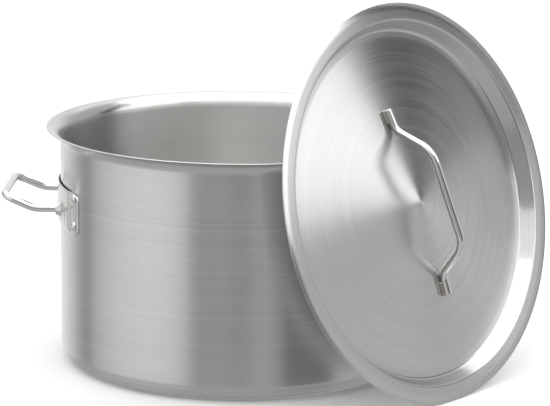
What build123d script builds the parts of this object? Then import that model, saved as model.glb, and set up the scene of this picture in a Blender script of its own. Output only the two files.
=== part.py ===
from build123d import *
from math import asin, atan, cos, degrees, radians, sin, sqrt
import os

# A 24 litre stock pot in stainless steel with its loose lid leaning against it.
# Frame: millimetres, +Z up, origin at the centre of the base's underside.
# The side handles stand on +X and -X, and -Y is the pot's front.

# Pot: one deep-drawn shell with a flared pouring rim
INNER_RADIUS = 180
WALL = 1
HEIGHT = 240
RIM_FLARE = 14
LIP_ROUND = 0.4
CORNER_RADIUS = 18
INSIDE_CORNER_ROUND = 6

# Sandwich base: an aluminium disc under the shell's floor, closed in a steel cap
BASE_DEPTH = 6
CAP_THICKNESS = 0.8

# Side handles: bent rod in a pressed bracket
ROD_RADIUS = 4
ROD_LEVEL = 161.5
ROD_SPREAD = 50
GRIP_SPREAD = 48
ROD_START = 176.5
RISE_START = 204
GRIP_REACH = 234
GRIP_RISE = 12.5
RISE_BEND = 30
GRIP_BEND = 12

# Handle bracket: sheet pressed to the wall's curve
SHEET = 1.5
BRACKET_TOP = 185.5
BRACKET_BOTTOM = 143
BAND_BOTTOM = 156
BRACKET_SPREAD = 96
PAD_ANGLE = 33
BRACKET_ROUND = 9
LOBE_INNER_EDGE = 32
LOBE_ROUND = 6
FIELD_HEIGHT = 3
FIELD_ANGLE = 26
FIELD_SLOPE = 4
FIELD_STEP = 1.6
BELL_FOOT = 168
BELL_REACH = 181.5
BELL_RADIUS = 20
BELL_CURVE = 19
COLLAR_RADIUS = 6.2
COLLAR_LENGTH = 2
COLLAR_CLEARANCE = 0.5
WELD_LENGTH = 1.6
VENT_RADIUS = 2
VENT_LEVEL = 167

# Rivets through bracket and wall
RIVET_LEVELS_AND_SPREADS = ((180.5, 89), (152.5, 88))
RIVET_RADIUS = 2.5
HEAD_RADIUS = 4.8
HEAD_HEIGHT = 3.2
INSIDE_HEAD_RADIUS = 5
INSIDE_HEAD_HEIGHT = 1.2

# Lid: one spun sheet with a flat flange, a drop that centres it in the mouth and a low cone
LID_SHEET = 1
FLANGE_RADIUS = 195.5
DROP_TOP_RADIUS = 178.5
DROP_BOTTOM_RADIUS = 171
DROP_DEPTH = 14
GUTTER_RADIUS = 163
DROP_TOP_ROUND = 2.5
DROP_BOTTOM_ROUND = 3.5
GUTTER_ROUND = 20
APEX_LEVEL = -0.5
PAST_AXIS = 5

# The lid's place at rest: on edge on the floor, leaning back on the rim
LID_FACING = -40.5
LID_LEAN = 15
LID_CENTRE_BEARING = -33.2
LID_CENTRE_REACH = 217.6
FLOOR_GAP = 0.2

# Lid handle: bent rod with its feet along the cone
LID_GRIP_HALF = 49
LID_LEG_FOOT = 74.5
LID_FOOT_END = 97
LID_GRIP_LEVEL = 33
LID_HANDLE_TURN = 12
LID_GRIP_BEND = 24
LID_FOOT_BEND = 16
WELD_WIDTH = 5.6
WELD_HEIGHT = 2
WELD_RUN = 13

os.makedirs("parts", exist_ok=True)

outer_radius = INNER_RADIUS + WALL
rim_radius = outer_radius + RIM_FLARE
rivet_places = [(level, degrees(asin(spread / outer_radius))) for level, spread in RIVET_LEVELS_AND_SPREADS]


def save(node, name):
    """Labels a finished piece and writes its STEP file."""
    node.part.label = name
    export_step(node.part, f"parts/{name}.step")


def arc_reach(radius, level, centre_level):
    """Horizontal half chord of a circle at a level above the floor."""
    return sqrt(radius**2 - (centre_level - level) ** 2)


def outward(level, angle):
    """Plane facing out from the pot's axis at a level and bearing."""
    return Plane((0, 0, level), z_dir=Vector(1, 0, 0).rotate(Axis.Z, angle))


# Pot body

corner_centre = (outer_radius - CORNER_RADIUS, CORNER_RADIUS)
floor_level = BASE_DEPTH + WALL
seam_reach = corner_centre[0] + arc_reach(CORNER_RADIUS, BASE_DEPTH, CORNER_RADIUS)
seam_angle = degrees(asin((CORNER_RADIUS - BASE_DEPTH) / CORNER_RADIUS))
inside_corner = CORNER_RADIUS - WALL
floor_reach = corner_centre[0] + arc_reach(inside_corner, floor_level, CORNER_RADIUS)
floor_angle = degrees(asin((CORNER_RADIUS - floor_level) / inside_corner))
flare_centre = (rim_radius, HEIGHT - RIM_FLARE - WALL)

with BuildPart() as pot_body:
    with BuildSketch(Plane.XZ):
        with BuildLine():
            Line((0, floor_level), (0, BASE_DEPTH))
            Line((0, BASE_DEPTH), (seam_reach, BASE_DEPTH))
            CenterArc(corner_centre, CORNER_RADIUS, -seam_angle, seam_angle)
            Line((outer_radius, CORNER_RADIUS), (outer_radius, flare_centre[1]))
            CenterArc(flare_centre, RIM_FLARE, 90, 90)
            Line((rim_radius, HEIGHT - WALL), (rim_radius, HEIGHT))
            CenterArc(flare_centre, RIM_FLARE + WALL, 90, 90)
            Line((INNER_RADIUS, flare_centre[1]), (INNER_RADIUS, CORNER_RADIUS))
            CenterArc(corner_centre, inside_corner, -floor_angle, floor_angle)
            Line((floor_reach, floor_level), (0, floor_level))
        make_face()
        fillet(vertices().sort_by_distance((floor_reach, floor_level))[0], INSIDE_CORNER_ROUND)
        fillet(vertices().group_by(Axis.X)[-1], LIP_ROUND)
    revolve(axis=Axis.Z)
    for level, bearing in rivet_places:
        for angle in (bearing, -bearing, 180 - bearing, 180 + bearing):
            with BuildSketch(outward(level, angle)):
                Circle(RIVET_RADIUS)
            extrude(amount=rim_radius, mode=Mode.SUBTRACT)
save(pot_body, "pot_body")

# Sandwich base

core_corner = CORNER_RADIUS - CAP_THICKNESS
core_reach = corner_centre[0] + arc_reach(core_corner, BASE_DEPTH, CORNER_RADIUS)
core_angle = degrees(asin((CORNER_RADIUS - BASE_DEPTH) / core_corner))

with BuildPart() as base_core_disc:
    with BuildSketch(Plane.XZ):
        with BuildLine():
            Line((0, BASE_DEPTH), (0, CAP_THICKNESS))
            Line((0, CAP_THICKNESS), (corner_centre[0], CAP_THICKNESS))
            CenterArc(corner_centre, core_corner, -90, 90 - core_angle)
            Line((core_reach, BASE_DEPTH), (0, BASE_DEPTH))
        make_face()
    revolve(axis=Axis.Z)
save(base_core_disc, "base_core_disc")

with BuildPart() as base_cap:
    with BuildSketch(Plane.XZ):
        with BuildLine():
            Line((0, CAP_THICKNESS), (0, 0))
            Line((0, 0), (corner_centre[0], 0))
            CenterArc(corner_centre, CORNER_RADIUS, -90, 90 - seam_angle)
            Line((seam_reach, BASE_DEPTH), (core_reach, BASE_DEPTH))
            CenterArc(corner_centre, core_corner, -90, 90 - core_angle)
            Line((corner_centre[0], CAP_THICKNESS), (0, CAP_THICKNESS))
        make_face()
    revolve(axis=Axis.Z)
save(base_cap, "base_cap")

# Right handle bracket: rivet pads on the wall, a raised field between them and a bell round each rod

field_radius = outer_radius + FIELD_HEIGHT
hollow_angle = FIELD_ANGLE - degrees(SHEET / outer_radius)
bracket_height = BRACKET_TOP - BRACKET_BOTTOM
bracket_middle = BRACKET_BOTTOM + bracket_height / 2


def sector_start(half_angle):
    """Upright plane through the pot's axis, where a revolved sector about +X starts."""
    return Plane.XZ.rotated((0, 0, -half_angle))


def rod_plane(spread):
    """Upright plane through one rod's straight end, with its X along the rod."""
    return Plane((0, spread, ROD_LEVEL), x_dir=(1, 0, 0), z_dir=(0, -1, 0))


def bell(reach, foot_radius, collar_radius):
    """Half section of a bell: X runs along the rod and Y is the distance from the rod's axis."""
    with BuildSketch() as section:
        with BuildLine():
            Polyline((reach, collar_radius), (reach, 0), (BELL_FOOT, 0), (BELL_FOOT, foot_radius))
            RadiusArc((BELL_FOOT, foot_radius), (reach, collar_radius), BELL_CURVE)
        make_face()
    return section.sketch


with BuildPart() as right_handle_bracket:
    with BuildSketch(sector_start(FIELD_ANGLE)):
        with BuildLine():
            Polyline(
                (outer_radius, BRACKET_BOTTOM),
                (field_radius, BRACKET_BOTTOM + FIELD_SLOPE),
                (field_radius, BRACKET_TOP),
                (outer_radius, BRACKET_TOP),
                close=True,
            )
        make_face()
    revolve(axis=Axis.Z, revolution_arc=2 * FIELD_ANGLE)
    chamfer(edges().filter_by(Axis.Z).sort_by_distance((0, 0, BRACKET_TOP))[-2:], FIELD_STEP)
    with BuildSketch(sector_start(PAD_ANGLE)):
        with Locations((outer_radius, BRACKET_BOTTOM)):
            Rectangle(SHEET, bracket_height, align=(Align.MIN, Align.MIN))
    revolve(axis=Axis.Z, revolution_arc=2 * PAD_ANGLE)
    for spread in (-ROD_SPREAD, ROD_SPREAD):
        with BuildSketch(rod_plane(spread)):
            add(bell(BELL_REACH, BELL_RADIUS, COLLAR_RADIUS))
        revolve(axis=Axis((0, spread, ROD_LEVEL), (1, 0, 0)))
    with BuildSketch(sector_start(hollow_angle)):
        with BuildLine():
            Polyline(
                (0, BRACKET_BOTTOM + SHEET),
                (outer_radius, BRACKET_BOTTOM + SHEET),
                (field_radius - SHEET, BRACKET_BOTTOM + FIELD_SLOPE + SHEET),
                (field_radius - SHEET, BRACKET_TOP + SHEET),
                (0, BRACKET_TOP + SHEET),
                close=True,
            )
        make_face()
    revolve(axis=Axis.Z, revolution_arc=2 * hollow_angle, mode=Mode.SUBTRACT)
    for spread in (-ROD_SPREAD, ROD_SPREAD):
        with BuildSketch(rod_plane(spread)):
            add(bell(BELL_REACH - COLLAR_LENGTH, BELL_RADIUS - SHEET, ROD_RADIUS + COLLAR_CLEARANCE))
        revolve(axis=Axis((0, spread, ROD_LEVEL), (1, 0, 0)), mode=Mode.SUBTRACT)
    with BuildSketch(Plane.YZ):
        with Locations((-ROD_SPREAD, ROD_LEVEL), (ROD_SPREAD, ROD_LEVEL)):
            Circle(ROD_RADIUS)
        with Locations((0, VENT_LEVEL)):
            Circle(VENT_RADIUS)
    extrude(amount=rim_radius, mode=Mode.SUBTRACT)
    for level, bearing in rivet_places:
        for angle in (bearing, -bearing):
            with BuildSketch(outward(level, angle)):
                Circle(RIVET_RADIUS)
            extrude(amount=rim_radius, mode=Mode.SUBTRACT)
    with BuildSketch(Plane.YZ):
        with Locations((0, bracket_middle)):
            RectangleRounded(2 * BRACKET_SPREAD, bracket_height, BRACKET_ROUND)
        with Locations((0, BRACKET_BOTTOM)):
            Rectangle(2 * LOBE_INNER_EDGE, 2 * (BAND_BOTTOM - BRACKET_BOTTOM), mode=Mode.SUBTRACT)
        fillet(vertices().filter_by_position(Axis.X, -LOBE_INNER_EDGE, LOBE_INNER_EDGE), LOBE_ROUND)
    extrude(amount=rim_radius, mode=Mode.INTERSECT)
    Cylinder(outer_radius, 2 * HEIGHT, mode=Mode.SUBTRACT)
save(right_handle_bracket, "right_handle_bracket")

# Right handle rod: two straight ends in the bells, a rise, and a cross bar to hold

grip_level = ROD_LEVEL + GRIP_RISE

with BuildPart() as right_handle_rod:
    with BuildLine() as side_route:
        FilletPolyline(
            (ROD_START, -ROD_SPREAD, ROD_LEVEL),
            (RISE_START, -ROD_SPREAD, ROD_LEVEL),
            (GRIP_REACH, -GRIP_SPREAD, grip_level),
            (GRIP_REACH, GRIP_SPREAD, grip_level),
            (RISE_START, ROD_SPREAD, ROD_LEVEL),
            (ROD_START, ROD_SPREAD, ROD_LEVEL),
            radius=[RISE_BEND, GRIP_BEND, GRIP_BEND, RISE_BEND],
        )
    with BuildSketch(Plane(side_route.line @ 0, z_dir=side_route.line % 0)):
        Circle(ROD_RADIUS)
    sweep()
save(right_handle_rod, "right_handle_rod")

# Right handle welds: a bead behind each collar joins the rod to its bell

with BuildPart() as right_handle_welds:
    for spread in (-ROD_SPREAD, ROD_SPREAD):
        with BuildSketch(rod_plane(spread)):
            add(bell(BELL_REACH - COLLAR_LENGTH, BELL_RADIUS - SHEET, ROD_RADIUS + COLLAR_CLEARANCE))
            with Locations((BELL_REACH - COLLAR_LENGTH, 0)):
                Rectangle(2 * WELD_LENGTH, 2 * BELL_RADIUS, mode=Mode.INTERSECT)
            Rectangle(2 * BELL_REACH, 2 * ROD_RADIUS, mode=Mode.SUBTRACT)
        revolve(axis=Axis((0, spread, ROD_LEVEL), (1, 0, 0)))
save(right_handle_welds, "right_handle_welds")

# Rivets: domed heads outside on the pads, low flat heads inside the pot

inside_seat = sqrt(INNER_RADIUS**2 - INSIDE_HEAD_RADIUS**2)
outside_seat = outer_radius + SHEET
dome_radius = (HEAD_RADIUS**2 + HEAD_HEIGHT**2) / (2 * HEAD_HEIGHT)
dome_centre = outside_seat + HEAD_HEIGHT - dome_radius
dome_angle = degrees(asin(HEAD_RADIUS / dome_radius))

with BuildPart() as rivet:
    with BuildSketch(Plane.XZ):
        with BuildLine():
            CenterArc((dome_centre, 0), dome_radius, 0, dome_angle)
            Polyline(
                (outside_seat, HEAD_RADIUS),
                (outside_seat, RIVET_RADIUS),
                (inside_seat, RIVET_RADIUS),
                (inside_seat, INSIDE_HEAD_RADIUS),
                (inside_seat - INSIDE_HEAD_HEIGHT, INSIDE_HEAD_RADIUS),
                (inside_seat - INSIDE_HEAD_HEIGHT, 0),
                (outside_seat + HEAD_HEIGHT, 0),
            )
        make_face()
    revolve(axis=Axis.X)

with BuildPart() as right_handle_rivets:
    for level, bearing in rivet_places:
        with Locations(Location((0, 0, level), (0, 0, bearing)), Location((0, 0, level), (0, 0, -bearing))):
            add(rivet.part)
save(right_handle_rivets, "right_handle_rivets")

# Left handle: the same pieces on the far side

with BuildPart() as left_handle_bracket:
    mirror(right_handle_bracket.part, about=Plane.YZ)
save(left_handle_bracket, "left_handle_bracket")

with BuildPart() as left_handle_rod:
    mirror(right_handle_rod.part, about=Plane.YZ)
save(left_handle_rod, "left_handle_rod")

with BuildPart() as left_handle_welds:
    mirror(right_handle_welds.part, about=Plane.YZ)
save(left_handle_welds, "left_handle_welds")

with BuildPart() as left_handle_rivets:
    mirror(right_handle_rivets.part, about=Plane.YZ)
save(left_handle_rivets, "left_handle_rivets")

# Lid: its own axes stand at its centre, level with the flange's top

facing = Vector(1, 0, 0).rotate(Axis.Z, LID_FACING)
lid_out = facing * cos(radians(LID_LEAN)) + Vector(0, 0, 1) * sin(radians(LID_LEAN))
lid_up = Vector(0, 0, 1) * cos(radians(LID_LEAN)) - facing * sin(radians(LID_LEAN))
edge_drop = FLANGE_RADIUS * cos(radians(LID_LEAN)) + LID_SHEET * sin(radians(LID_LEAN))
lid_centre = Vector(LID_CENTRE_REACH, 0, 0).rotate(Axis.Z, LID_CENTRE_BEARING)
lid_centre = lid_centre + Vector(0, 0, edge_drop + FLOOR_GAP)
cone_slope = (APEX_LEVEL + DROP_DEPTH) / GUTTER_RADIUS


def lid_plane(along):
    """Plane that holds the lid's axis, with its X along a radius and its Y out of the lid's top."""
    return Plane(lid_centre, x_dir=along, z_dir=along.cross(lid_out))


with BuildPart() as lid_panel:
    with BuildSketch(lid_plane(lid_up)):
        with BuildLine():
            FilletPolyline(
                (FLANGE_RADIUS, 0),
                (DROP_TOP_RADIUS, 0),
                (DROP_BOTTOM_RADIUS, -DROP_DEPTH),
                (GUTTER_RADIUS, -DROP_DEPTH),
                (-PAST_AXIS, APEX_LEVEL + cone_slope * PAST_AXIS),
                radius=[DROP_TOP_ROUND, DROP_BOTTOM_ROUND, GUTTER_ROUND],
            )
            offset(amount=LID_SHEET, side=Side.LEFT)
        make_face()
        Rectangle(FLANGE_RADIUS, 2 * FLANGE_RADIUS, align=(Align.MIN, Align.CENTER), mode=Mode.INTERSECT)
    revolve(axis=Axis(lid_centre, lid_out))
save(lid_panel, "lid_panel")

# Lid handle: a bail of the same rod with a foot along the cone at each end

handle_along = lid_up.rotate(Axis((0, 0, 0), lid_out), LID_HANDLE_TURN)


def foot_level(reach):
    """Level of a rod's axis over the flange's top where the rod lies on the cone."""
    return APEX_LEVEL - cone_slope * reach + ROD_RADIUS / cos(atan(cone_slope))


with BuildPart() as lid_handle:
    with BuildLine(lid_plane(handle_along)) as lid_route:
        FilletPolyline(
            (-LID_FOOT_END, foot_level(LID_FOOT_END)),
            (-LID_LEG_FOOT, foot_level(LID_LEG_FOOT)),
            (-LID_GRIP_HALF, LID_GRIP_LEVEL),
            (LID_GRIP_HALF, LID_GRIP_LEVEL),
            (LID_LEG_FOOT, foot_level(LID_LEG_FOOT)),
            (LID_FOOT_END, foot_level(LID_FOOT_END)),
            radius=[LID_FOOT_BEND, LID_GRIP_BEND, LID_GRIP_BEND, LID_FOOT_BEND],
        )
    with BuildSketch(Plane(lid_route.line @ 0, z_dir=lid_route.line % 0)):
        Circle(ROD_RADIUS)
    sweep()
save(lid_handle, "lid_handle")

# Lid handle welds: a bead along both sides of each foot

with BuildPart() as lid_handle_welds:
    for end in (-1, 1):
        toe = lid_plane(handle_along).from_local_coords((end * LID_FOOT_END, foot_level(LID_FOOT_END), 0))
        heel = lid_plane(handle_along).from_local_coords((end * LID_LEG_FOOT, foot_level(LID_LEG_FOOT), 0))
        inward = (heel - toe).normalized()
        across = inward.cross(lid_out).normalized()
        with BuildSketch(Plane(toe, x_dir=across, z_dir=inward)):
            with BuildLine():
                Polyline(
                    (-WELD_WIDTH, -ROD_RADIUS),
                    (WELD_WIDTH, -ROD_RADIUS),
                    (ROD_RADIUS, WELD_HEIGHT - ROD_RADIUS),
                    (-ROD_RADIUS, WELD_HEIGHT - ROD_RADIUS),
                    close=True,
                )
            make_face()
            Circle(ROD_RADIUS, mode=Mode.SUBTRACT)
        extrude(amount=WELD_RUN)
save(lid_handle_welds, "lid_handle_welds")
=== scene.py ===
import math

import bmesh
import bpy
from mathutils import Matrix, Vector


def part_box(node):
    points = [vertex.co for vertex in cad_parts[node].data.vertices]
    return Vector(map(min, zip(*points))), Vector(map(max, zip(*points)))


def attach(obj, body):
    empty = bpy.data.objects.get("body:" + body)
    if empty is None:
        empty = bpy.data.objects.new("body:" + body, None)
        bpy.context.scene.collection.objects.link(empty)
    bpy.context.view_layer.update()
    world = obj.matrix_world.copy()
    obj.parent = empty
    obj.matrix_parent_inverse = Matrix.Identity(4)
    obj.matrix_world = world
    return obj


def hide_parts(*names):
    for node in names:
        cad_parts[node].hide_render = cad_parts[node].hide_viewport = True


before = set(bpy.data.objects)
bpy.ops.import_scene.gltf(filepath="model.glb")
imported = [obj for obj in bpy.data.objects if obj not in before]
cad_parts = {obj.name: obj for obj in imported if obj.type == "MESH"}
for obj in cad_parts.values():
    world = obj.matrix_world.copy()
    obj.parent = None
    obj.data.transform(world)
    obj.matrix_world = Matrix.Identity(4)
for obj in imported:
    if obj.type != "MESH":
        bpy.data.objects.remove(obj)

# A 24 litre stainless steel stock pot, with its lid leaning on the rim.
# Every length is in metres unless its name ends in mm. Plain angles are degrees, for arc().

MM = 0.001
UP = Vector((0, 0, 1))
ORIGIN = Matrix.Identity(4)
SIDES = (("right", 1), ("left", -1))

# Pot shell and base, as made: sheet gauge, flared lip and rounded foot
SHEET = 1 * MM
RIM_FLARE = 14 * MM
FLARE_END = 92
LIP_ROUND = 0.4 * MM
LIP_END = 80
CORNER_RADIUS = 18 * MM
INSIDE_CORNER = 6 * MM
CAP_THICKNESS = 0.8 * MM
SEAM_BEVEL = 0.35 * MM

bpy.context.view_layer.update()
RIM_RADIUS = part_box("pot_body")[1].x
POT_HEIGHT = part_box("pot_body")[1].z
OUTER_RADIUS = RIM_RADIUS - RIM_FLARE
INNER_RADIUS = OUTER_RADIUS - SHEET
BASE_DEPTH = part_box("base_cap")[1].z
FLOOR_LEVEL = BASE_DEPTH + SHEET
FOOT_CENTRE = (OUTER_RADIUS - CORNER_RADIUS, CORNER_RADIUS)

# Lid: flange, drop, gutter and low cone, in its own axes
FLANGE_RADIUS = 195.5 * MM
DROP_TOP = 178.5 * MM
DROP_BOTTOM = 171 * MM
DROP_DEPTH = 14 * MM
GUTTER_RADIUS = 163 * MM
APEX_LEVEL = -0.5 * MM
DROP_TOP_ROUND = 2.5 * MM
DROP_BOTTOM_ROUND = 3.5 * MM
GUTTER_ROUND = 20 * MM
FLANGE_BEVEL = 0.2 * MM
LID_FACING = math.radians(-40.5)
LID_LEAN = math.radians(15)
LID_CENTRE_BEARING = math.radians(-33.2)
LID_CENTRE_REACH = 217.6 * MM

# Side handle rods
ROD_RADIUS = 4 * MM
ROD_LEVEL = 161.5 * MM
ROD_SPREAD = 50 * MM
ROD_START = 176.5 * MM
RISE_START = 204 * MM
GRIP_REACH = 234 * MM
GRIP_SPREAD = 48 * MM
GRIP_RISE = 12.5 * MM
RISE_BEND = 30 * MM
GRIP_BEND = 12 * MM
ROD_END_ROUND = 1.2 * MM
ROD_END_ANGLES = (0, 25, 45, 65, 90)

# Handle brackets: pads, lobes, raised field, and a bell round each rod, as (reach, radius) at foot and tip
BRACKET_SHEET = 1.5 * MM
BRACKET_TOP = 185.5 * MM
BRACKET_BOTTOM = 143 * MM
BAND_BOTTOM = 156 * MM
BRACKET_SPREAD = 96 * MM
BRACKET_ROUND = 9 * MM
LOBE_INNER_EDGE = 32 * MM
LOBE_ROUND = 6 * MM
FIELD_HEIGHT = 3 * MM
FIELD_ANGLE = math.radians(25.4)
FIELD_STEP = math.radians(0.96)
FIELD_SLOPE = 4 * MM
BELL_FOOT = (168 * MM, 20 * MM)
BELL_TIP = (181.5 * MM, 6.2 * MM)
BELL_CURVE = 19 * MM
BELL_EDGE = 0.4 * MM
BELL_EDGE_WIDTH = 1.2 * MM
COLLAR_ROUND = 0.5 * MM
COLLAR_LIP = 0.3 * MM
BORE_CLEARANCE = 0.05 * MM
BORE_BEVEL = (0.2 * MM, 0.3 * MM)
PRESSED_FROM = 10 * MM
PRESS_BLEND = 2.8 * MM
UNDER_BELL_SLOPE = 0.25
EDGE_ROUND = 0.5 * MM
EDGE_STEP = 0.15 * MM
LOBE_STEP = 0.02 * MM
WALL_GAP = 0.03 * MM
SHARP_EDGE = math.radians(40)
VENT_RADIUS = 2 * MM
VENT_LEVEL = 167 * MM
DRILL_HALF = 20 * MM

# Rivets: domed head outside, flat head inside
RIVET_LEVELS_AND_SPREADS = ((180.5 * MM, 89 * MM), (152.5 * MM, 88 * MM))
RIVET_RADIUS = 2.5 * MM
HEAD_RADIUS = 4.8 * MM
HEAD_HEIGHT = 3.2 * MM
INSIDE_HEAD_RADIUS = 5 * MM
INSIDE_HEAD_HEIGHT = 1.2 * MM
HEAD_BEVEL = 0.2 * MM
INSIDE_HEAD_ROUND = 0.8 * MM
DOME_START = 3

# Lid handle
LID_GRIP_HALF = 49 * MM
LID_LEG_FOOT = 74.5 * MM
LID_FOOT_END = 97 * MM
LID_GRIP_LEVEL = 33 * MM
LID_HANDLE_TURN = math.radians(12)
LID_GRIP_BEND = 24 * MM
LID_FOOT_BEND = 16 * MM

# Weld beads
WELD_RUN = 13 * MM
WELD_INSET = 2.8 * MM
BEAD_STEP = 1.1 * MM
BEAD_RADIUS = 1.3 * MM
BEAD_STAND = 0.55 * BEAD_RADIUS
BEAD_TUCK = 0.6 * MM
RING_RADIUS = ROD_RADIUS + 0.4 * BEAD_RADIUS
BEAD_SIZE_PLAY = 0.12
LID_BEAD_SEED = 7
ROD_BEAD_SEED = 11

# How finely turned pieces, arcs and long runs are drawn
TURN_STEPS = 288
BELL_STEPS = 64
RIVET_STEPS = 36
DRILL_STEPS = 32
ROD_SIDES = 40
ARC_STEP = math.radians(6)
POT_STEP = 12 * MM
LID_STEP = 8 * MM
ROD_STEP = 6 * MM
BRACKET_STEP = 1.1 * MM
BRACKET_ROWS = 40
BELL_SKIN_STEP = 0.3 * MM
ON_AXIS = 1e-7


# Shapes


def placed(name, data):
    """A new object in the scene, at the origin."""
    piece = bpy.data.objects.new(name, data)
    bpy.context.scene.collection.objects.link(piece)
    return piece


def arc(centre, radius, start, end):
    """Points on a circle from one angle to another, in degrees."""
    start, end = math.radians(start), math.radians(end)
    count = max(2, math.ceil(abs(end - start) / ARC_STEP))
    angles = [start + (end - start) * i / count for i in range(count + 1)]
    return [(centre[0] + radius * math.cos(a), centre[1] + radius * math.sin(a)) for a in angles]


def rounded(points, radii):
    """A route of straight runs with an arc of the given radius at each inner point, in 2-D or 3-D."""
    points = [Vector(p) for p in points]
    route = [points[0]]
    for before, corner, after, radius in zip(points, points[1:], points[2:], radii):
        back, on = (before - corner).normalized(), (after - corner).normalized()
        half = back.angle(on) / 2
        middle = corner + (back + on).normalized() * radius / math.sin(half)
        start, end = corner + back * radius / math.tan(half), corner + on * radius / math.tan(half)
        first, last = start - middle, end - middle
        sweep = first.angle(last)
        count = max(2, math.ceil(sweep / ARC_STEP))
        for i in range(count + 1):
            t = i / count
            along = (first * math.sin((1 - t) * sweep) + last * math.sin(t * sweep)) / math.sin(sweep)
            route.append(middle + along)
    return route + [points[-1]]


def spread(outline, longest):
    """The same outline with no step longer than the given length."""
    points = [Vector(p) for p in outline]
    out = [points[0]]
    for a, b in zip(points, points[1:]):
        count = max(1, math.ceil((b - a).length / longest))
        out += [a.lerp(b, (i + 1) / count) for i in range(count)]
    return out


def turned(name, outline, place=ORIGIN, closed=False, steps=TURN_STEPS):
    """A piece turned from an outline of radius and height, about the Z of its place.

    The UV map "turned" holds the distance along the outline and the share of a turn."""
    mesh = bpy.data.meshes.new(name)
    shape = bmesh.new()
    layer = shape.loops.layers.uv.new("turned")
    outline = [Vector(p) for p in outline]
    if closed:
        outline = outline + [outline[0]]
    travel = [0.0]
    for a, b in zip(outline, outline[1:]):
        travel.append(travel[-1] + (b - a).length)
    rings = []
    for p in outline[:-1] if closed else outline:
        if p[0] < ON_AXIS:
            rings.append([shape.verts.new((0, 0, p[1]))])
            continue
        angles = [math.tau * k / steps for k in range(steps)]
        rings.append([shape.verts.new((p[0] * math.cos(a), p[0] * math.sin(a), p[1])) for a in angles])
    if closed:
        rings.append(rings[0])
    for i, (low, high) in enumerate(zip(rings, rings[1:])):
        for k in range(steps):
            n = (k + 1) % steps
            corners = [(low, k, i), (low, n, i), (high, n, i + 1), (high, k, i + 1)]
            turns = [k, k + 1, k + 1, k]
            if len(low) == 1:
                corners, turns = [(low, 0, i), *corners[2:]], [k + 0.5, k + 1, k]
            elif len(high) == 1:
                corners, turns = [*corners[:2], (high, 0, i + 1)], [k, k + 1, k + 0.5]
            face = shape.faces.new([ring[j % len(ring)] for ring, j, _ in corners])
            face.smooth = True
            for loop, turn, (_, _, row) in zip(face.loops, turns, corners):
                loop[layer].uv = (travel[row], turn / steps)
    bmesh.ops.recalc_face_normals(shape, faces=shape.faces)
    shape.to_mesh(mesh)
    shape.free()
    mesh.transform(place)
    return placed(name, mesh)


def made(piece, body, slot, material, *nodes):
    """Gives a piece its material and its body, and hides the CAD nodes that it stands for. The slot is not
    used.
    """
    piece.data.materials.clear()
    piece.data.materials.append(material)
    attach(piece, body)
    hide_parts(*nodes)
    return piece


# Materials

# The usual range of two noise textures added together
LOW_NOISE, HIGH_NOISE = 0.6, 1.4


def linear(hex_colour):
    """An sRGB hex colour as linear red, green, blue and alpha."""
    parts = [int(hex_colour[i : i + 2], 16) / 255 for i in (1, 3, 5)]
    return [c / 12.92 if c <= 0.04045 else ((c + 0.055) / 1.055) ** 2.4 for c in parts] + [1.0]


def add_node(tree, kind, links=None, values=None, **settings):
    """Adds a node with its settings, input values and links: socket name or number to an output."""
    node = tree.nodes.new(kind)
    for name, value in settings.items():
        setattr(node, name, value)
    for socket, value in (values or {}).items():
        node.inputs[socket].default_value = value
    for socket, source in (links or {}).items():
        tree.links.new(source, node.inputs[socket])
    return node


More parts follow.
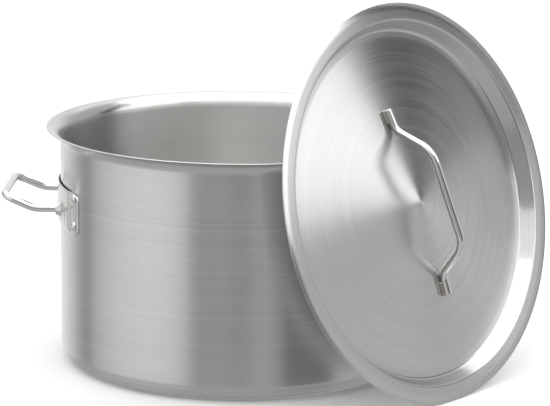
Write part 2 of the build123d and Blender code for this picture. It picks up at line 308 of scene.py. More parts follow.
def metal(name, dark, light, roughness, play, grain_mm, bump_mm, patch_mm, mark_mm=None, anisotropy=0.0):
    """A bare metal: tone and gloss vary with its finishing marks and in soft patches.

    A mark width makes the marks run round a turned piece, as rings across its outline, and the
    anisotropy spreads each highlight along the outline. Without it the grain has no direction.
    Real brush marks and rings are about 0.1 mm wide: they are drawn 1 to 2 mm wide, as coarse
    as they need to be to show."""
    material = bpy.data.materials.new(name)
    material.use_nodes = True
    tree = material.node_tree
    shader = tree.nodes["Principled BSDF"]
    shader.inputs["Metallic"].default_value = 1.0
    shader.inputs["Anisotropic"].default_value = anisotropy
    place = add_node(tree, "ShaderNodeTexCoord").outputs["Object"]
    scaled = add_node(
        tree, "ShaderNodeVectorMath", {0: place}, {1: [1 / (grain_mm * MM)] * 3}, operation="MULTIPLY"
    ).outputs[0]
    if mark_mm:
        uv = add_node(tree, "ShaderNodeUVMap", uv_map="turned").outputs["UV"]
        along = add_node(
            tree, "ShaderNodeVectorMath", {0: uv}, {1: (1 / (mark_mm * MM), 0, 0)}, operation="MULTIPLY"
        ).outputs[0]
        scaled = add_node(tree, "ShaderNodeVectorMath", {0: scaled, 1: along}, operation="ADD").outputs[0]
        tangent = add_node(tree, "ShaderNodeTangent", direction_type="UV_MAP", uv_map="turned")
        tree.links.new(tangent.outputs["Tangent"], shader.inputs["Tangent"])
    marks = add_node(
        tree, "ShaderNodeTexNoise", {"Vector": scaled}, {"Scale": 1.0, "Detail": 2.0, "Roughness": 0.6}
    ).outputs["Fac"]
    patches = add_node(
        tree, "ShaderNodeTexNoise", {"Vector": place}, {"Scale": 1 / (patch_mm * MM), "Detail": 2.0}
    ).outputs["Fac"]
    both = add_node(tree, "ShaderNodeMath", {0: marks, 1: patches}, operation="ADD").outputs[0]
    tone = add_node(
        tree, "ShaderNodeMapRange", {"Value": both}, {"From Min": LOW_NOISE, "From Max": HIGH_NOISE}
    )
    ramp = add_node(tree, "ShaderNodeValToRGB", {"Fac": tone.outputs["Result"]})
    ramp.color_ramp.elements[0].color = linear(dark)
    ramp.color_ramp.elements[1].color = linear(light)
    gloss = add_node(
        tree,
        "ShaderNodeMapRange",
        {"Value": both},
        {
            "From Min": LOW_NOISE,
            "From Max": HIGH_NOISE,
            "To Min": roughness - play,
            "To Max": roughness + play,
        },
    )
    bump = add_node(tree, "ShaderNodeBump", {"Height": marks}, {"Strength": 1.0, "Distance": bump_mm * MM})
    tree.links.new(ramp.outputs["Color"], shader.inputs["Base Color"])
    tree.links.new(gloss.outputs["Result"], shader.inputs["Roughness"])
    tree.links.new(bump.outputs["Normal"], shader.inputs["Normal"])
    return material


# Drawn wall: satin, with level brush marks that draw reflections out into upright bands
WALL_STEEL = metal(
    "brushed_stainless_wall", "#C5C4C3", "#CFCFCD", roughness=0.25, play=0.025,
    grain_mm=220, bump_mm=0.0008, patch_mm=120, mark_mm=2.0, anisotropy=0.8,
)
# Inside of the pot: the same marks, left rougher, so light from above reaches down the wall
INSIDE_STEEL = metal(
    "brushed_stainless_inside", "#C5C4C3", "#CFCFCD", roughness=0.37, play=0.03,
    grain_mm=220, bump_mm=0.0008, patch_mm=120, mark_mm=2.0, anisotropy=0.9,
)
# Base cap: spun steel, a little duller from the stove
BASE_STEEL = metal(
    "spun_stainless_base", "#BDBCBA", "#C4C3C1", roughness=0.30, play=0.03,
    grain_mm=60, bump_mm=0.0002, patch_mm=60, mark_mm=1.2, anisotropy=0.7,
)
# Lid: spun rings that fan reflections out from the centre
LID_STEEL = metal(
    "spun_stainless_lid", "#C6C5C4", "#D4D3D2", roughness=0.23, play=0.025,
    grain_mm=160, bump_mm=0.0012, patch_mm=110, mark_mm=1.8, anisotropy=0.85,
)
# Handle rods: polished, with clear reflections and faint drawing marks
ROD_STEEL = metal(
    "polished_stainless_rod", "#DAD9D7", "#E2E1DF", roughness=0.15, play=0.03,
    grain_mm=3, bump_mm=0.0004, patch_mm=20,
)
# Brackets: pressed bright sheet, a little softer than the rods
BRACKET_STEEL = metal(
    "pressed_stainless_bracket", "#D0CFCD", "#DAD9D7", roughness=0.20, play=0.04,
    grain_mm=4, bump_mm=0.0006, patch_mm=18,
)
# Rivets: tumbled heads, a slightly hazy shine
RIVET_STEEL = metal(
    "tumbled_stainless_rivet", "#D0CFCD", "#DAD9D7", roughness=0.20, play=0.04,
    grain_mm=2, bump_mm=0.001, patch_mm=6,
)
# Weld beads: dull rippled steel, straw-tinted by heat
WELD_STEEL = metal(
    "weld_bead_stainless", "#A8A29A", "#BDB9B2", roughness=0.34, play=0.06,
    grain_mm=1.2, bump_mm=0.006, patch_mm=5,
)
# Core of the base: soft grey bare aluminium, closed in between shell and cap
CORE_ALUMINIUM = metal(
    "bare_aluminium_core", "#B8BBBE", "#C6C8CA", roughness=0.42, play=0.05,
    grain_mm=5, bump_mm=0.002, patch_mm=30,
)


# Pot

seam_drop = CORNER_RADIUS - BASE_DEPTH
seam_angle = math.degrees(math.asin(seam_drop / CORNER_RADIUS))
seam_reach = FOOT_CENTRE[0] + math.sqrt(CORNER_RADIUS**2 - seam_drop**2)
inside_radius = CORNER_RADIUS - SHEET
inside_drop = CORNER_RADIUS - FLOOR_LEVEL - INSIDE_CORNER
inside_reach = FOOT_CENTRE[0] + math.sqrt((inside_radius - INSIDE_CORNER) ** 2 - inside_drop**2)
inside_angle = math.degrees(math.asin(inside_drop / (inside_radius - INSIDE_CORNER)))
flare_centre = (RIM_RADIUS, POT_HEIGHT - RIM_FLARE - SHEET)
lip_centre = (RIM_RADIUS - LIP_ROUND, POT_HEIGHT - SHEET / 2)

pot_outline = [
    (0, FLOOR_LEVEL),
    *arc((inside_reach, FLOOR_LEVEL + INSIDE_CORNER), INSIDE_CORNER, -90, -inside_angle),
    *arc(FOOT_CENTRE, inside_radius, -inside_angle, 0)[1:],
    *arc(flare_centre, RIM_FLARE + SHEET, 180, FLARE_END),
    *arc(lip_centre, LIP_ROUND, LIP_END, -LIP_END),
    *arc(flare_centre, RIM_FLARE, FLARE_END, 180),
    *arc(FOOT_CENTRE, CORNER_RADIUS, 0, -seam_angle),
    (seam_reach - SEAM_BEVEL, BASE_DEPTH),
    (0, BASE_DEPTH),
]
pot = turned("pot_shell", spread(pot_outline, POT_STEP))
made(pot, "pot", "pot_steel", WALL_STEEL, "pot_body")
pot.data.materials.append(INSIDE_STEEL)
for face in pot.data.polygons:
    inside = face.center.xy.length < OUTER_RADIUS - SHEET / 2 and face.center.z > BASE_DEPTH + SHEET / 2
    face.material_index = 1 if inside else 0

core_radius = CORNER_RADIUS - CAP_THICKNESS
core_angle = math.degrees(math.asin(seam_drop / core_radius))
cap_outline = [
    (0, CAP_THICKNESS),
    *arc(FOOT_CENTRE, core_radius, -90, -core_angle),
    (seam_reach - SEAM_BEVEL, BASE_DEPTH),
    *arc(FOOT_CENTRE, CORNER_RADIUS, -seam_angle - 1, -90),
    (0, 0),
]
base_cap = turned("base_cap_shell", spread(cap_outline, POT_STEP))
made(base_cap, "pot", "base_steel", BASE_STEEL, "base_cap")


# Lid

facing = Vector((math.cos(LID_FACING), math.sin(LID_FACING), 0))
lid_out = facing * math.cos(LID_LEAN) + UP * math.sin(LID_LEAN)
lid_up = UP * math.cos(LID_LEAN) - facing * math.sin(LID_LEAN)
lid_side = lid_out.cross(lid_up)
lid_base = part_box("lid_panel")[0].z
lid_centre = Vector(
    (
        LID_CENTRE_REACH * math.cos(LID_CENTRE_BEARING),
        LID_CENTRE_REACH * math.sin(LID_CENTRE_BEARING),
        lid_base + FLANGE_RADIUS * math.cos(LID_LEAN) + SHEET * math.sin(LID_LEAN),
    )
)
LID_PLACE = Matrix.Translation(lid_centre) @ Matrix((lid_up, lid_side, lid_out)).transposed().to_4x4()

cone_slope = (APEX_LEVEL + DROP_DEPTH) / GUTTER_RADIUS


def lid_line(sheet):
    """The lid's top line, or its under line when the sheet's thickness is given."""
    tilt = math.atan2(DROP_DEPTH, DROP_TOP - DROP_BOTTOM)
    return rounded(
        [
            (0, APEX_LEVEL - sheet / math.cos(math.atan(cone_slope))),
            (GUTTER_RADIUS + sheet * math.tan(math.atan(cone_slope) / 2), -DROP_DEPTH - sheet),
            (DROP_BOTTOM + sheet * math.tan(tilt / 2), -DROP_DEPTH - sheet),
            (DROP_TOP + sheet * math.tan(tilt / 2), -sheet),
            (FLANGE_RADIUS - FLANGE_BEVEL, -sheet),
        ],
        [GUTTER_ROUND, DROP_BOTTOM_ROUND + sheet, DROP_TOP_ROUND - sheet],
    )


lid_outline = [
    *lid_line(0),
    (FLANGE_RADIUS, -FLANGE_BEVEL),
    (FLANGE_RADIUS, FLANGE_BEVEL - SHEET),
    *reversed(lid_line(SHEET)),
]
lid = turned("lid_sheet", spread(lid_outline, LID_STEP), LID_PLACE)
made(lid, "lid", "lid_steel", LID_STEEL, "lid_panel")


# Geometry Nodes: rods, weld beads and rivets, grown from paths and points


def group(name, **sockets):
    """A geometry node group with a geometry in and out and the named inputs."""
    tree = bpy.data.node_groups.new(name, "GeometryNodeTree")
    tree.interface.new_socket("Geometry", in_out="INPUT", socket_type="NodeSocketGeometry")
    tree.interface.new_socket("Geometry", in_out="OUTPUT", socket_type="NodeSocketGeometry")
    for label, kind in sockets.items():
        tree.interface.new_socket(label.replace("_", " "), in_out="INPUT", socket_type="NodeSocket" + kind)
    return tree, tree.nodes.new("NodeGroupInput").outputs, tree.nodes.new("NodeGroupOutput").inputs


def finished(tree, shape, given, result):
    """Ends a group: real geometry, smooth faces and the given material."""
    real = add_node(tree, "GeometryNodeRealizeInstances", {"Geometry": shape}).outputs[0]
    smooth = add_node(tree, "GeometryNodeSetShadeSmooth", {"Geometry": real}).outputs[0]
    dressed = add_node(tree, "GeometryNodeSetMaterial", {"Geometry": smooth, "Material": given["Material"]})
    tree.links.new(dressed.outputs[0], result["Geometry"])


def bent_rod_group():
    """A round rod along a path, thinned at its ends by the path's own thickness attribute."""
    tree, given, result = group("bent_rod", Radius="Float", Sides="Int", Material="Material")
    path = add_node(tree, "GeometryNodeMeshToCurve", {"Mesh": given["Geometry"]}).outputs[0]
    thick = add_node(tree, "GeometryNodeInputNamedAttribute", values={"Name": "thickness"}, data_type="FLOAT")
    ring = add_node(
        tree, "GeometryNodeCurvePrimitiveCircle", {"Resolution": given["Sides"], "Radius": given["Radius"]}
    ).outputs[0]
    tube = add_node(
        tree,
        "GeometryNodeCurveToMesh",
        {"Curve": path, "Profile Curve": ring, "Scale": thick.outputs["Attribute"]},
        {"Fill Caps": True},
    )
    finished(tree, tube.outputs[0], given, result)
    return tree


def weld_bead_group():
    """Overlapping beads along a path, each a little different in size."""
    tree, given, result = group(
        "weld_bead_row", Step="Float", Bead_Radius="Float", Size_Play="Float", Seed="Int", Material="Material"
    )
    path = add_node(tree, "GeometryNodeMeshToCurve", {"Mesh": given["Geometry"]}).outputs[0]
    dots = add_node(
        tree, "GeometryNodeResampleCurve", {"Curve": path, "Length": given["Step"]}, mode="LENGTH"
    ).outputs[0]
    bead = add_node(
        tree, "GeometryNodeMeshIcoSphere", {"Radius": given["Bead Radius"]}, {"Subdivisions": 3}
    ).outputs[0]
    least = add_node(tree, "ShaderNodeMath", {1: given["Size Play"]}, {0: 1.0}, operation="SUBTRACT")
    most = add_node(tree, "ShaderNodeMath", {1: given["Size Play"]}, {0: 1.0}, operation="ADD")
    size = add_node(
        tree,
        "FunctionNodeRandomValue",
        {2: least.outputs[0], 3: most.outputs[0], "Seed": given["Seed"]},
        data_type="FLOAT",
    )
    row = add_node(
        tree, "GeometryNodeInstanceOnPoints", {"Points": dots, "Instance": bead, "Scale": size.outputs[1]}
    )
    finished(tree, row.outputs[0], given, result)
    return tree


def rivet_group():
    """A rivet at each point, facing straight out from the upright axis."""
    tree, given, result = group("rivet_row", Rivet="Object", Material="Material")
    shape = add_node(tree, "GeometryNodeObjectInfo", {"Object": given["Rivet"]}).outputs["Geometry"]
    place = add_node(tree, "GeometryNodeInputPosition").outputs[0]
    out = add_node(tree, "ShaderNodeVectorMath", {0: place}, {1: (1, 1, 0)}, operation="MULTIPLY")
    facing = add_node(tree, "FunctionNodeAlignRotationToVector", {"Vector": out.outputs[0]}, axis="X")
    row = add_node(
        tree,
        "GeometryNodeInstanceOnPoints",
        {"Points": given["Geometry"], "Instance": shape, "Rotation": facing.outputs[0]},
    )
    finished(tree, row.outputs[0], given, result)
    return tree


def path_mesh(name, paths, thickness=None):
    """Points joined in runs, one run for each path, with each point's thickness if given."""
    mesh = bpy.data.meshes.new(name)
    points, edges = [], []
    for path in paths:
        edges += [(len(points) + i, len(points) + i + 1) for i in range(len(path) - 1)]
        points += [tuple(p) for p in path]
    mesh.from_pydata(points, edges, [])
    if thickness:
        mesh.attributes.new("thickness", "FLOAT", "POINT").data.foreach_set("value", thickness)
    return mesh


def settle(piece, modifier):
    """Keeps what the modifier makes as the piece's own mesh, and takes the modifier off."""
    graph = bpy.context.evaluated_depsgraph_get()
    plain = bpy.data.meshes.new_from_object(piece.evaluated_get(graph))
    piece.modifiers.remove(modifier)
    piece.data = plain


def grown(name, mesh, tree, **values):
    """Runs a node group on a mesh and keeps the result as a plain mesh."""
    piece = placed(name, mesh)
    modifier = piece.modifiers.new(name, "NODES")
    modifier.node_group = tree
    for socket in tree.interface.items_tree:
        label = socket.name.replace(" ", "_")
        if socket.in_out == "INPUT" and label in values:
            modifier[socket.identifier] = values[label]
    settle(piece, modifier)
    return piece


def rod_path(name, corners, bends):
    """A rod's route with rounded ends: extra points near each end carry a smaller thickness."""
    route = spread(rounded(corners, bends), ROD_STEP)
    angles = [math.radians(angle) for angle in ROD_END_ANGLES]
    steps = [ROD_END_ROUND * (1 - math.cos(a)) for a in angles]
    thinned = [1 - (ROD_END_ROUND / ROD_RADIUS) * (1 - math.sin(a)) for a in angles]
    ends = []
    for tip, beyond in ((route[0], route[1]), (route[-1], route[-2])):
        inward = (beyond - tip).normalized()
        ends.append([tip + inward * step for step in steps])
    path = ends[0] + route[1:-1] + ends[1][::-1]
    thickness = thinned + [1.0] * (len(route) - 2) + thinned[::-1]
    return path_mesh(name, [path], thickness)


def bent_rod(name, corners, bends):
    """A polished rod through the corners, bent to the given radii at the inner ones."""
    path = rod_path(f"{name}_path", corners, bends)
    return grown(name, path, BENT_ROD, Radius=ROD_RADIUS, Sides=ROD_SIDES, Material=ROD_STEEL)


def weld_beads(name, rows, seed):
    """Weld beads along each row of points."""
    return grown(
        name,
        path_mesh(f"{name}_rows", rows),
        WELD_BEADS,
        Step=BEAD_STEP,
        Bead_Radius=BEAD_RADIUS,
        Size_Play=BEAD_SIZE_PLAY,
        Seed=seed,
        Material=WELD_STEEL,
    )


BENT_ROD = bent_rod_group()
WELD_BEADS = weld_bead_group()
RIVETS = rivet_group()

# Side handle rods

grip_level = ROD_LEVEL + GRIP_RISE
for side, sign in SIDES:
    corners = [
        (sign * ROD_START, -ROD_SPREAD, ROD_LEVEL),
        (sign * RISE_START, -ROD_SPREAD, ROD_LEVEL),
        (sign * GRIP_REACH, -GRIP_SPREAD, grip_level),
        (sign * GRIP_REACH, GRIP_SPREAD, grip_level),
        (sign * RISE_START, ROD_SPREAD, ROD_LEVEL),
        (sign * ROD_START, ROD_SPREAD, ROD_LEVEL),
    ]
    rod = bent_rod(f"{side}_rod", corners, [RISE_BEND, GRIP_BEND, GRIP_BEND, RISE_BEND])
    made(rod, "pot", "rod_steel", ROD_STEEL, f"{side}_handle_rod")


# Lid handle


def foot_level(reach):
    """Level of the rod's axis over the flange's top where the rod lies on the cone."""
    return APEX_LEVEL - cone_slope * reach + ROD_RADIUS / math.cos(math.atan(cone_slope))


handle_along = lid_up * math.cos(LID_HANDLE_TURN) + lid_side * math.sin(LID_HANDLE_TURN)
handle_across = lid_out.cross(handle_along)


def on_lid(reach, level, aside=0.0):
    """A point by its reach along the lid handle, its level over the flange and its distance aside."""
    return lid_centre + handle_along * reach + lid_out * level + handle_across * aside


corners = [
    on_lid(-LID_FOOT_END, foot_level(LID_FOOT_END)),
    on_lid(-LID_LEG_FOOT, foot_level(LID_LEG_FOOT)),
    on_lid(-LID_GRIP_HALF, LID_GRIP_LEVEL),
    on_lid(LID_GRIP_HALF, LID_GRIP_LEVEL),
    on_lid(LID_LEG_FOOT, foot_level(LID_LEG_FOOT)),
    on_lid(LID_FOOT_END, foot_level(LID_FOOT_END)),
]
bail = bent_rod("lid_rod", corners, [LID_FOOT_BEND, LID_GRIP_BEND, LID_GRIP_BEND, LID_FOOT_BEND])
made(bail, "lid", "rod_steel", ROD_STEEL, "lid_handle")

# Weld beads: along both sides of each lid handle foot, and round each side handle rod in its bell

rows = []
for end in (-1, 1):
    for aside in (-1, 1):
        row = []
        for reach in (LID_FOOT_END - BEAD_RADIUS, LID_FOOT_END - WELD_RUN):
            skin = foot_level(reach) - ROD_RADIUS
            row.append(on_lid(end * reach, skin + BEAD_STAND, aside * (ROD_RADIUS - BEAD_TUCK)))
        rows.append(row)
beads = weld_beads("lid_rod_weld_beads", rows, LID_BEAD_SEED)
made(beads, "lid", "weld_steel", WELD_STEEL, "lid_handle_welds")

for side, sign in SIDES:
    rings = []
    for centre in (-ROD_SPREAD, ROD_SPREAD):
        ring = arc((centre, ROD_LEVEL), RING_RADIUS, 0, 360)
        rings.append([(sign * (BELL_TIP[0] - WELD_INSET), y, z) for y, z in ring])
    beads = weld_beads(f"{side}_rod_weld_beads", rings, ROD_BEAD_SEED)
    made(beads, "pot", "weld_steel", WELD_STEEL, f"{side}_handle_welds")

# Rivets: one turned rivet, instanced on the wall

dome_radius = (HEAD_RADIUS**2 + HEAD_HEIGHT**2) / (2 * HEAD_HEIGHT)
dome_angle = math.degrees(math.asin(HEAD_RADIUS / dome_radius))
inside_seat = math.sqrt(INNER_RADIUS**2 - INSIDE_HEAD_RADIUS**2) - OUTER_RADIUS
inside_face = inside_seat - INSIDE_HEAD_HEIGHT
inside_round = (INSIDE_HEAD_RADIUS - INSIDE_HEAD_ROUND, inside_face + INSIDE_HEAD_ROUND)
dome_centre = (0, BRACKET_SHEET + HEAD_HEIGHT - dome_radius)
rivet_outline = [
    (0, inside_face),
    *arc(inside_round, INSIDE_HEAD_ROUND, -90, 0),
    (INSIDE_HEAD_RADIUS, inside_seat),
    (RIVET_RADIUS, inside_seat),
    (RIVET_RADIUS, BRACKET_SHEET),
    (HEAD_RADIUS - HEAD_BEVEL, BRACKET_SHEET),
    *arc(dome_centre, dome_radius, 90 - dome_angle + DOME_START, 90)[:-1],
    (0, BRACKET_SHEET + HEAD_HEIGHT),
]
one_rivet = turned("one_rivet", rivet_outline, Matrix.Rotation(math.pi / 2, 4, "Y"), steps=RIVET_STEPS)
for side, sign in SIDES:
    seats = []
    for level, reach in RIVET_LEVELS_AND_SPREADS:
        across = math.sqrt(OUTER_RADIUS**2 - reach**2)
        seats += [(sign * across, reach, level), (sign * across, -reach, level)]
    seat_mesh = path_mesh(f"{side}_rivet_seats", [[seat] for seat in seats])
    rivets = grown(f"{side}_rivets", seat_mesh, RIVETS, Rivet=one_rivet, Material=RIVET_STEEL)
    made(rivets, "pot", "rivet_steel", RIVET_STEEL, f"{side}_handle_rivets")
bpy.data.objects.remove(one_rivet)


# Handle brackets: one pressed sheet with rivet pads, a raised field and a bell round each rod


def smooth_step(t):
    """0 to 1 with level ends."""
    t = min(1.0, max(0.0, t))
    return t * t * (3 - 2 * t)


def bell_centre():
    """Centre of the bell's hollow curve, as reach and distance from the rod's axis."""
    foot, tip = Vector(BELL_FOOT), Vector(BELL_TIP)
    run = tip - foot
    lift = math.sqrt(BELL_CURVE**2 - (run.length / 2) ** 2)
    return (foot + tip) / 2 + Vector((-run.y, run.x)).normalized() * lift


BELL_CENTRE = bell_centre()


def bell_reach(distance):
    """Reach of the bell's skin at a distance from the rod's axis."""
    return BELL_CENTRE.x - math.sqrt(BELL_CURVE**2 - (BELL_CENTRE.y - distance) ** 2)


def bracket_edges(y):
    """Lower and upper edge of the bracket at a distance from its middle."""
    y = abs(y)
    low, high = BRACKET_BOTTOM, BRACKET_TOP
    if y > BRACKET_SPREAD - BRACKET_ROUND:
        past = min(BRACKET_ROUND, y - BRACKET_SPREAD + BRACKET_ROUND)
        dip = BRACKET_ROUND - math.sqrt(BRACKET_ROUND**2 - past**2)
        return low + dip, high - dip
    if y <= LOBE_INNER_EDGE:
        past = max(0.0, y - LOBE_INNER_EDGE + LOBE_ROUND)
        low = BAND_BOTTOM - LOBE_ROUND + math.sqrt(LOBE_ROUND**2 - past**2)
    elif y < LOBE_INNER_EDGE + LOBE_ROUND:
        past = LOBE_INNER_EDGE + LOBE_ROUND - y
        low = BRACKET_BOTTOM + LOBE_ROUND - math.sqrt(LOBE_ROUND**2 - past**2)
    return low, high


def bracket_reach(y, z):
    """Reach of the bracket's outer skin from the plane through the pot's axis."""
    angle = math.asin(abs(y) / OUTER_RADIUS)
    inside = 1 - smooth_step((angle - FIELD_ANGLE) / FIELD_STEP)
    rise = min(1.0, (z - BRACKET_BOTTOM) / FIELD_SLOPE)
    height = max(BRACKET_SHEET, FIELD_HEIGHT * smooth_step(rise))
    radius = OUTER_RADIUS + BRACKET_SHEET + (height - BRACKET_SHEET) * inside
    field = math.sqrt(radius**2 - y * y)
    away = math.hypot(abs(y) - ROD_SPREAD, z - ROD_LEVEL)
    if away >= BELL_FOOT[1]:
        return field
    under = max(0.0, PRESSED_FROM - away)
    bell = bell_reach(max(away, PRESSED_FROM)) - UNDER_BELL_SLOPE * under
    gap = max(0.0, 1 - abs(bell - field) / (2 * PRESS_BLEND))
    return max(bell, field) + PRESS_BLEND / 2 * gap * gap


def bracket_columns():
    """Distances from the bracket's middle at which its rows cross, closer where an edge curves."""
    turn = [math.sin(math.radians(a)) for a in range(0, 91, 10)]
    half = [LOBE_INNER_EDGE - LOBE_ROUND * (1 - t) for t in turn]
    half += [LOBE_INNER_EDGE + LOBE_STEP + LOBE_ROUND * (1 - t) for t in reversed(turn)]
    half += [BRACKET_SPREAD - BRACKET_ROUND * (1 - t) for t in turn]
    stops = sorted([0.0] + half)
    route = [p.x for p in spread([(stop, 0) for stop in stops], BRACKET_STEP)]
    return [-y for y in reversed(route[1:])] + route


def edge_drop(distance):
    """How far the skin falls back at a distance from the sheet's cut edge."""
    short = min(EDGE_ROUND, max(0.0, EDGE_ROUND - distance))
    return EDGE_ROUND - math.sqrt(EDGE_ROUND**2 - short**2)


def bracket_levels(low, high):
    """Levels of the sheet's rows between its edges, closer at the rounded cut edges."""
    run = high - low - 2 * EDGE_ROUND
    rows = [low + EDGE_ROUND + run * i / BRACKET_ROWS for i in range(BRACKET_ROWS + 1)]
    return [low, low + EDGE_STEP, *rows, high - EDGE_STEP, high]


def all_round(grid):
    """The points round the border of a grid, in order."""
    bottom, top = [column[0] for column in grid], [column[-1] for column in grid]
    return bottom + grid[-1][1:] + top[-2::-1] + grid[0][-2:0:-1]


def bracket_sheet(name, sign):
    """The pressed sheet as one closed skin: outer face, inner face and cut edges."""
    shape = bmesh.new()
    outer, inner = [], []
    for y in bracket_columns():
        low, high = bracket_edges(y)
        wall = math.sqrt((OUTER_RADIUS + WALL_GAP) ** 2 - y * y)
        front, back = [], []
        for z in bracket_levels(low, high):
            from_edge = min(z - low, high - z, BRACKET_SPREAD - abs(y))
            skin = bracket_reach(y, z)
            front.append(shape.verts.new((sign * (skin - edge_drop(from_edge)), y, z)))
            back.append(shape.verts.new((sign * max(wall, skin - BRACKET_SHEET), y, z)))
        outer.append(front)
        inner.append(back)
    for grid in (outer, inner):
        for left, right in zip(grid, grid[1:]):
            for i in range(len(left) - 1):
                shape.faces.new((left[i], right[i], right[i + 1], left[i + 1]))
    border = list(zip(all_round(outer), all_round(inner)))
    for (front, back), (next_front, next_back) in zip(border, border[1:] + border[:1]):
        shape.faces.new((front, next_front, next_back, back))
    bmesh.ops.recalc_face_normals(shape, faces=shape.faces)
    for face in shape.faces:
        face.smooth = True
    mesh = bpy.data.meshes.new(name)
    shape.to_mesh(mesh)
    shape.free()
    return placed(name, mesh)


def vented(piece, sign):
    """Cuts the round vent hole through the sheet."""
    place = Matrix.Translation((sign * OUTER_RADIUS, 0, VENT_LEVEL)) @ Matrix.Rotation(math.pi / 2, 4, "Y")
    drill_outline = [(0, -DRILL_HALF), (VENT_RADIUS, -DRILL_HALF), (VENT_RADIUS, DRILL_HALF), (0, DRILL_HALF)]
    drill = turned("vent_drill", drill_outline, place, steps=DRILL_STEPS)
    cut = piece.modifiers.new("vent", "BOOLEAN")
    cut.object = drill
    cut.solver = "EXACT"
    settle(piece, cut)
    piece.data.set_sharp_from_angle(angle=SHARP_EDGE)
    bpy.data.objects.remove(drill)


def bell_outline():
    """The drawn bell round a rod: skin, collar lip and bore, as distance and reach."""
    widest, tip = PRESSED_FROM + 2 * BELL_SKIN_STEP, BELL_TIP[0]
    count = round((widest - BELL_TIP[1] - COLLAR_ROUND) / BELL_SKIN_STEP)
    skin = [(widest - i * BELL_SKIN_STEP, bell_reach(widest - i * BELL_SKIN_STEP)) for i in range(count)]
    lip = arc((BELL_TIP[1] - COLLAR_LIP, tip - COLLAR_ROUND), COLLAR_ROUND, 5, 90)
    bore = ROD_RADIUS + BORE_CLEARANCE
    foot = skin[0]
    return [
        (foot[0], foot[1] - BELL_EDGE),
        *skin,
        *lip,
        (bore + BORE_BEVEL[0], tip),
        (bore, tip - BORE_BEVEL[1]),
        (bore, foot[1]),
        (foot[0] - BELL_EDGE_WIDTH, foot[1] - BELL_EDGE),
    ]


for side, sign in SIDES:
    bracket = bracket_sheet(f"{side}_bracket", sign)
    vented(bracket, sign)
    joined = bmesh.new()
    joined.from_mesh(bracket.data)
    for centre in (-ROD_SPREAD, ROD_SPREAD):
        place = Matrix.Translation((0, centre, ROD_LEVEL)) @ Matrix.Rotation(sign * math.pi / 2, 4, "Y")
        bell = turned("bell", bell_outline(), place, closed=True, steps=BELL_STEPS)
        joined.from_mesh(bell.data)
        bpy.data.objects.remove(bell)
    joined.to_mesh(bracket.data)
    joined.free()
    made(bracket, "pot", "bracket_steel", BRACKET_STEEL, f"{side}_handle_bracket")

# Core of the base: hidden, so the CAD solid is shown with its own metal

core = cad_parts["base_core_disc"]
core.data.materials.clear()
core.data.materials.append(CORE_ALUMINIUM)

# Stage: floor, studio light and camera

CAMERA_DISTANCE = 2.476
CAMERA_HEIGHT = 0.720
CAMERA_BEARING = math.radians(2.1)
CAMERA_YAW = math.radians(0.86)
CAMERA_PITCH = math.radians(12.77)
CAMERA_ROLL = math.radians(0.61)
LENS = 162.7
SENSOR_WIDTH = 36
SIGHT_END = 50

FLOOR_HALF = 12
CARD_RADIUS = 3.9
CARD_TOP = 5.0
CARD_STEP = 4
DISC_SIDES = 36
SURROUND_RADIUS = 4
SURROUND_LOW, SURROUND_HIGH = -1.6, 2.4
OVERHEAD_RADIUS = 2.4
OVERHEAD_LEVEL = 3.0
SKY_BRIGHTNESS = 1.3

# Brightness of the surround at each angle from the camera's direction
SURROUND_STOPS = (
    # Behind the set, and a dark gap at its left rear: the shaded line near the wall's left edge
    (-180, 1.0),
    (-150, 1.0),
    (-134, 0.84),
    (-122, 0.56),
    (-111, 0.38),
    (-103, 0.64),
    (-96, 0.76),
    # Window on the left: the wall's broad bright band
    (-80, 0.96),
    (-58, 1.06),
    (-43, 1.0),
    (-34, 0.84),
    # Dim room in front: the wall's grey middle
    (-29, 0.54),
    (-25, 0.4),
    (-8, 0.41),
    (2, 0.33),
    (10, 0.42),
    (18, 0.5),
    (25, 0.38),
    # Black screen: the dark upright band beside the lid
    (32, 0.12),
    (58, 0.1),
    # Half-light on the right, and round to the back
    (68, 0.68),
    (90, 0.68),
    (99, 0.56),
    (140, 0.56),
    (170, 0.95),
)

floor_mesh = bpy.data.meshes.new("studio_floor")
corners = [(x * FLOOR_HALF, y * FLOOR_HALF, 0) for x, y in ((-1, -1), (1, -1), (1, 1), (-1, 1))]
floor_mesh.from_pydata(corners, [], [(0, 1, 2, 3)])
floor = placed("studio_floor", floor_mesh)
floor.visible_glossy = False
# Floor: white paper, with no gloss at all
paper = bpy.data.materials.new("white_paper_sweep")
paper.use_nodes = True
paper_sockets = paper.node_tree.nodes["Principled BSDF"].inputs
paper_sockets["Base Color"].default_value = linear("#FFFFFF")
paper_sockets["Roughness"].default_value = 1.0
paper_sockets["Specular IOR Level"].default_value = 0.0
floor_mesh.materials.append(paper)


# Cards round the set, seen only in the steel. Angles turn round the pot from the camera's
# direction, in degrees, negative to the left.


def glow(name, brightness):
    """A card's material: an even glow."""
    material = bpy.data.materials.new(name)
    material.use_nodes = True
    tree = material.node_tree
    tree.nodes.remove(tree.nodes["Principled BSDF"])
    lamp = add_node(tree, "ShaderNodeEmission", values={"Strength": brightness})
    tree.links.new(lamp.outputs[0], tree.nodes["Material Output"].inputs["Surface"])
    return material


def card(name, points, faces, material):
    """A card that only reflections see."""
    mesh = bpy.data.meshes.new(name)
    mesh.from_pydata(points, [], faces)
    mesh.materials.append(material)
    piece = placed(name, mesh)
    piece.matrix_world = Matrix.Rotation(CAMERA_BEARING - math.pi / 2, 4, "Z")
    piece.visible_camera = False
    piece.visible_diffuse = False
    piece.visible_shadow = False


def flat_arc(radius, start, end, count):
    """Points on a circle about the pot's axis, in so many steps."""
    angles = [math.radians(start + (end - start) * k / count) for k in range(count + 1)]
    return [(radius * math.cos(a), radius * math.sin(a)) for a in angles]


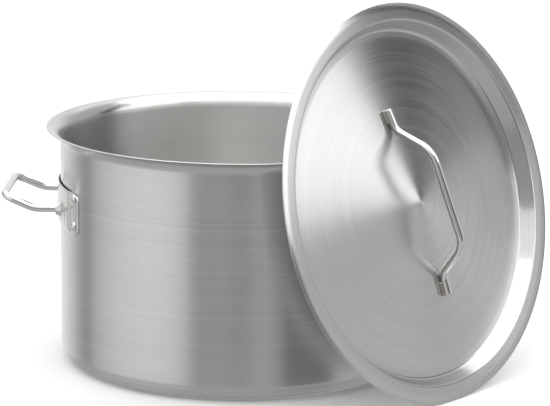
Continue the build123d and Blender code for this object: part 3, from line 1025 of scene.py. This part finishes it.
def strip(name, material, angles, levels, radius=CARD_RADIUS):
    """An upright curved card between two angles and two levels."""
    count = math.ceil((angles[1] - angles[0]) / CARD_STEP)
    points = [(*p, level) for level in levels for p in flat_arc(radius, *angles, count)]
    faces = [(k, k + 1, count + 2 + k, count + 1 + k) for k in range(count)]
    card(name, points, faces, material)


def disc(name, material, radius, level):
    """A level round card."""
    points = [(*p, level) for p in flat_arc(radius, 0, 360, DISC_SIDES)[:-1]]
    card(name, points, [tuple(range(DISC_SIDES))], material)


surround_cloth = glow("studio_surround", 1.0)
tree = surround_cloth.node_tree
place = add_node(tree, "ShaderNodeTexCoord").outputs["Object"]
turn = add_node(tree, "ShaderNodeTexGradient", {"Vector": place}, gradient_type="RADIAL").outputs["Fac"]
ramp = add_node(tree, "ShaderNodeValToRGB", {"Fac": turn})
stops = ramp.color_ramp.elements
while len(stops) < len(SURROUND_STOPS):
    stops.new(0.5)
for stop, (angle, brightness) in zip(stops, SURROUND_STOPS):
    stop.position = angle / 360 + 0.5
    stop.color = (brightness, brightness, brightness, 1)
tree.links.new(ramp.outputs["Color"], tree.nodes["Emission"].inputs["Color"])
surround_levels = (SURROUND_LOW, SURROUND_HIGH)
strip("studio_surround", surround_cloth, (-180, 180), surround_levels, SURROUND_RADIUS)

# Softbox high on the right: the lid's bright fan. Dark flag beside it: the lid's dark wedge
strip("softbox", glow("softbox_glow", 1.85), angles=(46, 93), levels=(0.85, CARD_TOP))
strip("dark_flag", glow("flag_cloth", 0.03), angles=(96, 109), levels=(0.7, CARD_TOP))
# Grey flag beyond it: half-light beside the wedge
strip("grey_flag", glow("grey_cloth", 0.6), angles=(113, 150), levels=(0.9, CARD_TOP))
# High front light: brightens the rim's flare, the rods and the rivet heads
strip("high_front", glow("high_front_glow", 1.3), angles=(-30, 30), levels=(1.7, CARD_TOP))
# Overhead light: brightens the pot's inside and the back of the rim
disc("overhead", glow("overhead_glow", 2.6), OVERHEAD_RADIUS, OVERHEAD_LEVEL)
# Dim card below: the darker turn of the wall into the base
disc("under_card", glow("under_cloth", 0.55), SURROUND_RADIUS, SURROUND_LOW)

world = bpy.data.worlds.new("studio")
bpy.context.scene.world = world
world.use_nodes = True
sky = world.node_tree.nodes["Background"].inputs
sky["Color"].default_value = linear("#FFFFFF")
sky["Strength"].default_value = SKY_BRIGHTNESS

camera = placed("camera", bpy.data.cameras.new("camera"))
bpy.context.scene.camera = camera
camera.data.lens = LENS
camera.data.sensor_width = SENSOR_WIDTH
camera.data.clip_end = SIGHT_END
stand = Matrix.Rotation(CAMERA_BEARING, 4, "Z") @ Matrix.Translation((0, -CAMERA_DISTANCE, CAMERA_HEIGHT))
yaw = Matrix.Rotation(-CAMERA_YAW, 4, "Z")
pitch = Matrix.Rotation(math.pi / 2 - CAMERA_PITCH, 4, "X")
roll = Matrix.Rotation(CAMERA_ROLL, 4, "Z")
camera.matrix_world = stand @ yaw @ pitch @ roll

bpy.context.scene.view_settings.view_transform = "Standard"
